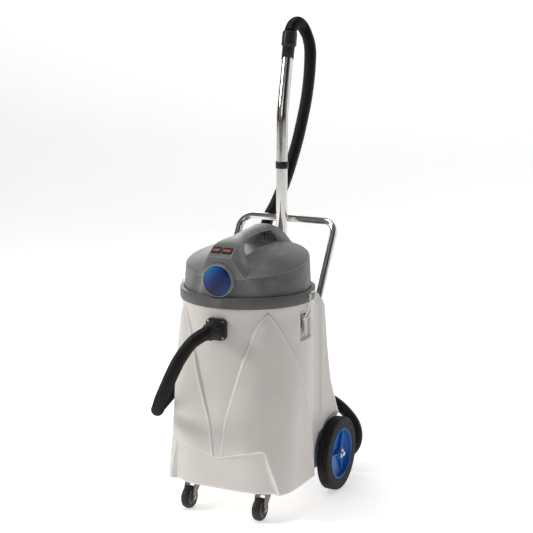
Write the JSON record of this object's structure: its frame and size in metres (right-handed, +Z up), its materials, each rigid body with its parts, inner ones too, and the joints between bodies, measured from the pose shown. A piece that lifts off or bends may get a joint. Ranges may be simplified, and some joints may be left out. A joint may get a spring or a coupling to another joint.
{
  "type": "spot extractor",
  "caption": "Wet pick-up cleaning machine on wheels: white tank, lift-off motor head with side latches, push handle, stored suction wand and black hose.",
  "frame": {"origin": "on the floor, under the middle of the machine's box measured without the free suction hose", "axes": "+Z up, front with the inlet and badge towards -Y, +X to the right seen from the front"},
  "size_m": [0.5722, 0.8777, 1.5835],
  "materials": {
    "white_polyethylene": "satin moulded natural white",
    "chromed_tube": "polished",
    "zinc_steel": "zinc plated",
    "black_plastic": "fine moulded",
    "black_hose": "satin ribbed",
    "dark_rubber": "soft",
    "tyre_rubber": "matt with grooves",
    "castor_rubber": "matt",
    "blue_plastic": "moulded",
    "grey_plastic": "satin moulded grey",
    "dark_grey_plastic": "satin moulded dark grey",
    "silver_plastic": "silver",
    "badge_blue": "glossy",
    "red_plastic": "glossy",
    "motor_steel": "pressed"
  },
  "bodies": {
    "root": {"tank": "white_polyethylene", "tank_rim_seal": "dark_rubber", "push_handle": "chromed_tube", "handle_screws": "zinc_steel", "rear_axle": "zinc_steel", "axle_brackets": "zinc_steel", "axle_screws": "zinc_steel", "axle_cap_nuts": "chromed_tube", "axle_washers": "zinc_steel", "castor_plates": "zinc_steel", "castor_bolts": "zinc_steel", "inlet_flange": "black_plastic", "inlet_screws": "zinc_steel", "inlet_deflector": "black_plastic", "latch_plates": "zinc_steel", "wand_holder": "black_plastic", "wand_holder_screws": "zinc_steel", "drain_spout": "black_plastic", "hose_cuff_tank": "black_plastic", "suction_hose": "black_hose"},
    "drain_cap": {"drain_cap": "dark_grey_plastic"},
    "head": {"head_base": "dark_grey_plastic", "head_cover": "grey_plastic", "head_screws": "zinc_steel", "badge_bezel": "silver_plastic", "badge_disc": "badge_blue", "switch_frames": "black_plastic", "motor_fan_housings": "motor_steel", "motor_bodies": "dark_grey_plastic", "motor_gaskets": "dark_rubber", "float_cage": "black_plastic", "latch_catches": "zinc_steel", "cable_gland": "black_plastic"},
    "float_ball": {"float_ball": "white_polyethylene"},
    "wand": {"wand_lower_tube": "chromed_tube", "wand_upper_tube": "chromed_tube", "wand_joint_ring": "black_plastic", "wand_stop_ring": "black_plastic", "hose_cuff_wand": "black_plastic"},
    "castor_left": {"castor_fork_left": "zinc_steel", "castor_axle_left": "zinc_steel"},
    "castor_wheel_left": {"castor_hub_left": "dark_grey_plastic", "castor_tyre_left": "castor_rubber"},
    "rear_wheel_left": {"rear_hub_left": "blue_plastic", "rear_tyre_left": "tyre_rubber"},
    "switch_left": {"switch_rocker_left": "red_plastic"},
    "rotor_left": {"rotor_left": "motor_steel"},
    "latch_lever_left": {"latch_lever_left": "zinc_steel"},
    "latch_bail_left": {"latch_bail_left": "zinc_steel"},
    "castor_right": {"castor_fork_right": "zinc_steel", "castor_axle_right": "zinc_steel"},
    "castor_wheel_right": {"castor_hub_right": "dark_grey_plastic", "castor_tyre_right": "castor_rubber"},
    "rear_wheel_right": {"rear_hub_right": "blue_plastic", "rear_tyre_right": "tyre_rubber"},
    "switch_right": {"switch_rocker_right": "red_plastic"},
    "rotor_right": {"rotor_right": "motor_steel"},
    "latch_lever_right": {"latch_lever_right": "zinc_steel"},
    "latch_bail_right": {"latch_bail_right": "zinc_steel"}
  },
  "joints": [
    {"name": "head_lift", "type": "slide", "parent": "root", "child": "head", "axis": [0, 0, 1], "range_m": [0, 0.22]},
    {"name": "float_ball_rise", "type": "slide", "parent": "head", "child": "float_ball", "axis": [0, 0, 1], "range_m": [0, 0.055]},
    {"name": "wand_lift", "type": "slide", "parent": "root", "child": "wand", "axis": [0, 0, 1], "range_m": [0, 0.25], "deforming": ["suction_hose"]},
    {"name": "drain_cap_pull", "type": "slide", "parent": "root", "child": "drain_cap", "axis": [0, 1, 0], "range_m": [0, 0.05]},
    {"name": "castor_swivel_left", "type": "hinge", "parent": "root", "child": "castor_left", "pos_m": [-0.129, -0.1745, 0.085], "axis": [0, 0, 1], "continuous": true},
    {"name": "castor_roll_left", "type": "hinge", "parent": "castor_left", "child": "castor_wheel_left", "pos_m": [-0.129, -0.2005, 0.0375], "axis": [1, 0, 0], "continuous": true},
    {"name": "rear_wheel_roll_left", "type": "hinge", "parent": "root", "child": "rear_wheel_left", "pos_m": [-0.223, 0.1915, 0.125], "axis": [1, 0, 0], "continuous": true},
    {"name": "switch_rock_left", "type": "hinge", "parent": "head", "child": "switch_left", "pos_m": [-0.019, -0.20845, 0.86927], "axis": [1, 0, 0], "range_deg": [0, 10]},
    {"name": "rotor_spin_left", "type": "hinge", "parent": "head", "child": "rotor_left", "pos_m": [-0.086, -0.0325, 0.76], "axis": [0, 0, 1], "continuous": true},
    {"name": "latch_lever_swing_left", "type": "hinge", "parent": "root", "child": "latch_lever_left", "pos_m": [-0.201, -0.0325, 0.646], "axis": [0, 1, 0], "range_deg": [0, 110]},
    {"name": "latch_bail_swing_left", "type": "hinge", "parent": "latch_lever_left", "child": "latch_bail_left", "pos_m": [-0.2054, -0.0325, 0.634], "axis": [0, -1, 0], "range_deg": [0, 112]},
    {"name": "castor_swivel_right", "type": "hinge", "parent": "root", "child": "castor_right", "pos_m": [0.129, -0.1745, 0.085], "axis": [0, 0, 1], "continuous": true},
    {"name": "castor_roll_right", "type": "hinge", "parent": "castor_right", "child": "castor_wheel_right", "pos_m": [0.129, -0.2005, 0.0375], "axis": [1, 0, 0], "continuous": true},
    {"name": "rear_wheel_roll_right", "type": "hinge", "parent": "root", "child": "rear_wheel_right", "pos_m": [0.223, 0.1915, 0.125], "axis": [1, 0, 0], "continuous": true},
    {"name": "switch_rock_right", "type": "hinge", "parent": "head", "child": "switch_right", "pos_m": [0.019, -0.20845, 0.86927], "axis": [1, 0, 0], "range_deg": [0, 10]},
    {"name": "rotor_spin_right", "type": "hinge", "parent": "head", "child": "rotor_right", "pos_m": [0.086, -0.0325, 0.76], "axis": [0, 0, 1], "continuous": true},
    {"name": "latch_lever_swing_right", "type": "hinge", "parent": "root", "child": "latch_lever_right", "pos_m": [0.201, -0.0325, 0.646], "axis": [0, -1, 0], "range_deg": [0, 110]},
    {"name": "latch_bail_swing_right", "type": "hinge", "parent": "latch_lever_right", "child": "latch_bail_right", "pos_m": [0.2054, -0.0325, 0.634], "axis": [0, 1, 0], "range_deg": [0, 112]}
  ],
  "couplings": [
    {"joint": "latch_bail_swing_left", "follows": "latch_lever_swing_left", "ratio": 1},
    {"joint": "latch_bail_swing_right", "follows": "latch_lever_swing_right", "ratio": 1}
  ]
}
